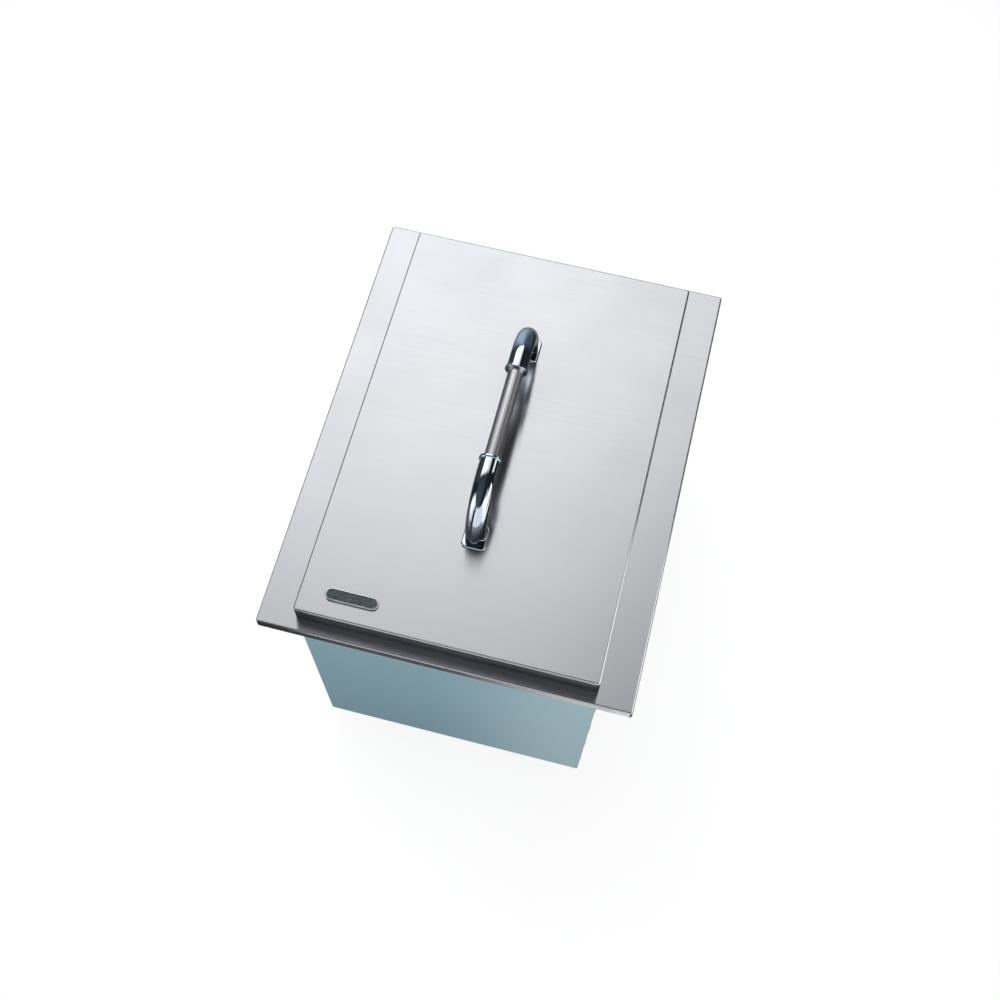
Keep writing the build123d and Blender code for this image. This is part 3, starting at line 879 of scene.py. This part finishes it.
# %% Ring of cards
FLOOR_LEVEL = cad_low.z
RING_RADIUS = 1.0
RING_HEIGHT = 0.80
RING_EDGES = 96


def seen_from_the_middle(tree):
    """The studio in the direction from the bin's middle to a point of the card."""
    direction = tree.node("ShaderNodeVectorMath", {"operation": "NORMALIZE"}, {0: place_on(tree)})
    return studio(direction)


circle = bmesh.new()
bmesh.ops.create_circle(circle, cap_ends=False, radius=RING_RADIUS, segments=RING_EDGES)
bmesh.ops.translate(circle, vec=(0.0, 0.0, FLOOR_LEVEL), verts=circle.verts)
pull_up(circle, circle.edges[:], RING_HEIGHT)
studio_prop("ring_of_cards", circle, glowing("ring_of_cards", seen_from_the_middle))

# %% [markdown]
# ## Floor cards
# Dark cards lie on the floor in front and at the right. Photographers put them there to give bright
# edges their dark line. Towards the right end of the casing the front card turns pale, and the
# paint there takes a white sheen from it, as it does in the picture. The paler part could be a card
# of its own, but a colour that eases along the card leaves no edge in the reflection. A grid with a
# size of 0.5 is one metre wide, so scaling it by a length gives that length.

# %% Floor cards
CARD_LIFT = 2.0 * MM
CARD_DARK = (0.02, 0.02, 0.02)
CARD_PALE = (0.72, 0.72, 0.72)
PALE_RISES = (-0.06, 0.19, 0.0, 1.0)
PALE_FALLS = (0.24, 0.26, 1.0, 0.0)
FRONT_CORNERS = ((-0.70, -0.90), (0.23, -0.27))
RIGHT_CORNERS = ((0.26, -0.50), (0.95, 0.60))


def sheet_on_floor(low, high, lift):
    """A flat rectangle between two corners, a little above the floor."""
    shape = bmesh.new()
    bmesh.ops.create_grid(shape, x_segments=1, y_segments=1, size=0.5)
    size = Vector((high[0] - low[0], high[1] - low[1], 1.0))
    middle = Vector(((low[0] + high[0]) / 2, (low[1] + high[1]) / 2, FLOOR_LEVEL + lift))
    bmesh.ops.scale(shape, vec=size, verts=shape.verts)
    bmesh.ops.translate(shape, vec=middle, verts=shape.verts)
    return shape


def pale_at_the_corner(tree):
    """The colour of the floor cards, dark but for a stretch in front of the casing's right end."""
    across = axes(place_on(tree))[0]
    pale = slope(across, *PALE_RISES) * slope(across, *PALE_FALLS)
    return blend_colours(pale, CARD_DARK, CARD_PALE)


floor_card = glowing("floor_card", pale_at_the_corner)
studio_prop("front_card", sheet_on_floor(*FRONT_CORNERS, CARD_LIFT), floor_card)
studio_prop("right_card", sheet_on_floor(*RIGHT_CORNERS, CARD_LIFT), floor_card)

# %% [markdown]
# ## Edge flag
# In front of the lid the flange mirrors the lid's folded skirt and, past its top, the bright panel.
# A low black flag on the lid's front edge stretches that dark band to the front. It is lower at the
# left, where the band is paler, and one-sided, so that the skirt isn't darkened from the other
# side. A darker stripe could be painted on the flange instead, but it would stay where it is while
# the view turns, and a mirrored flag moves as it should.

# %% Edge flag
lid_low, lid_high = (Vector(corner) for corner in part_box("lid_outer_pan"))
FLAG_LIFT = 1.0 * MM
FLAG_INSET = 1.0 * MM
FLAG_HEIGHTS = (24.0 * MM, 15.0 * MM)
FLAG_BLACK = (0.02, 0.02, 0.02, 1.0)


def standing_card(first, last, heights):
    """An upright wall over a line, with its height at each end."""
    shape = bmesh.new()
    foot = shape.edges.new([shape.verts.new(first), shape.verts.new(last)])
    tops = pull_up(shape, [foot], min(heights))
    tops.sort(key=lambda top: (top.co - Vector(first)).length)
    for top, height in zip(tops, heights):
        bmesh.ops.translate(shape, vec=(0.0, 0.0, height - min(heights)), verts=[top])
    return shape


flag_paint = bpy.data.materials.new("edge_flag")
tree = Tree(flag_paint)
black = tree.node("ShaderNodeBsdfDiffuse", None, {"Color": FLAG_BLACK})
clear = tree.node("ShaderNodeBsdfTransparent", None, {"Color": WHITE})
from_behind = tree.node("ShaderNodeNewGeometry", output="Backfacing")
one_sided = tree.node("ShaderNodeMixShader", None, {0: from_behind, 1: black, 2: clear})
tree.node("ShaderNodeOutputMaterial", None, {"Surface": one_sided})

flag_y = lid_low.y + FLAG_INSET
flag_ends = [(x, flag_y, lid_high.z + FLAG_LIFT) for x in (lid_high.x, lid_low.x)]
edge_flag = studio_prop("edge_flag", standing_card(*flag_ends, FLAG_HEIGHTS), flag_paint)
print("its dark side faces", [round(part, 2) for part in edge_flag.data.polygons[0].normal])

# %% [markdown]
# ## Edge strip
# The lid's right edge has a thin bright line in the picture. An edge that is rounded this little
# mirrors only what stands straight beside it, so a bright strip stands there, beyond the flange. A
# wider card would light the whole fold.

# %% Edge strip
STRIP_X = 0.30
STRIP_Y = (-0.32, -0.04)
STRIP_FOOT = 0.05
STRIP_HEIGHT = 0.11
STRIP_GLOW = (1.9, 1.9, 1.9, 1.0)

strip_ends = [(STRIP_X, y, STRIP_FOOT) for y in STRIP_Y]
strip_light = glowing("edge_strip", lambda tree: STRIP_GLOW)
studio_prop("edge_strip", standing_card(*strip_ends, (STRIP_HEIGHT, STRIP_HEIGHT)), strip_light)

# %% [markdown]
# ## Lamps
# Soft lamps give the matt surfaces their light: one from above for the floor and its shadow, one in
# front for the painted casing, and one at each other side, because the bin is looked at from there
# too. They are kept out of reflections, because the metal already has its studio, and at a level
# where a colour comes out about as it is written. The front one has a grid that narrows its beam,
# and it is aimed high, so the casing gets darker towards the floor. One sun lamp would be simpler,
# but it would leave hard shadows.

# %% Lamps
WIDE = 180.0
SIDE_AIM = (0.0, 0.0, -0.15)
# Name, place, aim, width in metres, power in watts and angle of the beam in degrees
LAMPS = (
    ("front_lamp", (0.15, -1.35, 0.75), (0.0, -0.28, 0.05), 0.9, 4.9, 80.0),
    ("top_lamp", (-0.5, 0.6, 2.2), (0.0, 0.0, 0.0), 2.0, 60.0, WIDE),
    ("left_lamp", (-1.4, 0.1, 0.45), SIDE_AIM, 0.9, 6.0, WIDE),
    ("right_lamp", (1.4, 0.1, 0.45), SIDE_AIM, 0.9, 6.0, WIDE),
    ("back_lamp", (0.0, 1.5, 0.45), SIDE_AIM, 0.9, 6.0, WIDE),
)


def soft_lamp(name, place, aim, width, power, beam):
    """A square soft lamp that lights matt surfaces and doesn't show in the metal."""
    data = bpy.data.lights.new(name, "AREA")
    data.shape = "SQUARE"
    data.size = width
    data.energy = power
    data.spread = math.radians(beam)
    lamp = bpy.data.objects.new(name, data)
    lamp.matrix_world = facing(Vector(place), Vector(aim))
    lamp.visible_glossy = False
    bpy.context.scene.collection.objects.link(lamp)
    print(name, "gives", power, "W")


for lamp in LAMPS:
    soft_lamp(*lamp)

# %% [markdown]
# ## Floor
# In use the bin hangs in a worktop, but here its drain just touches pale paper that catches its
# shadow. To the camera the paper glows with most of its own white, so that the background stays
# even, and the rest is lit by the lamps, which keeps the shadow. Stronger lamps would whiten the
# paper too, but they would bleach the paint with it.

# %% Floor
FLOOR_REACH = 7.0
PAPER_MATT = (0.82, 0.82, 0.82, 1.0)
GLOW_SEEN = 0.85
GLOW_MIRRORED = 0.30

floor_paint = bpy.data.materials.new("floor_paper")
tree = Tree(floor_paint)
seen = tree.node("ShaderNodeLightPath", output="Is Camera Ray")
indirect = seen.sibling("Is Glossy Ray") + seen.sibling("Is Transmission Ray")
share = seen * GLOW_SEEN + indirect * GLOW_MIRRORED
matt = tree.node("ShaderNodeBsdfDiffuse", None, {"Color": PAPER_MATT})
shine = tree.node("ShaderNodeEmission", None, {"Color": WHITE, "Strength": 1.0})
mixed = tree.node("ShaderNodeMixShader", None, {0: share, 1: matt, 2: shine})
tree.node("ShaderNodeOutputMaterial", None, {"Surface": mixed})
floor_shape = sheet_on_floor((-FLOOR_REACH, -FLOOR_REACH), (FLOOR_REACH, FLOOR_REACH), 0.0)
studio_prop("studio_floor", floor_shape, floor_paint, only_mirrored=False)
print("floor lies at", round(FLOOR_LEVEL / MM, 1), "mm")

# %% [markdown]
# ## View and finish
# Colours go to the picture as they are, without a film look.

# %% View and finish
bpy.context.scene.view_settings.view_transform = "Standard"
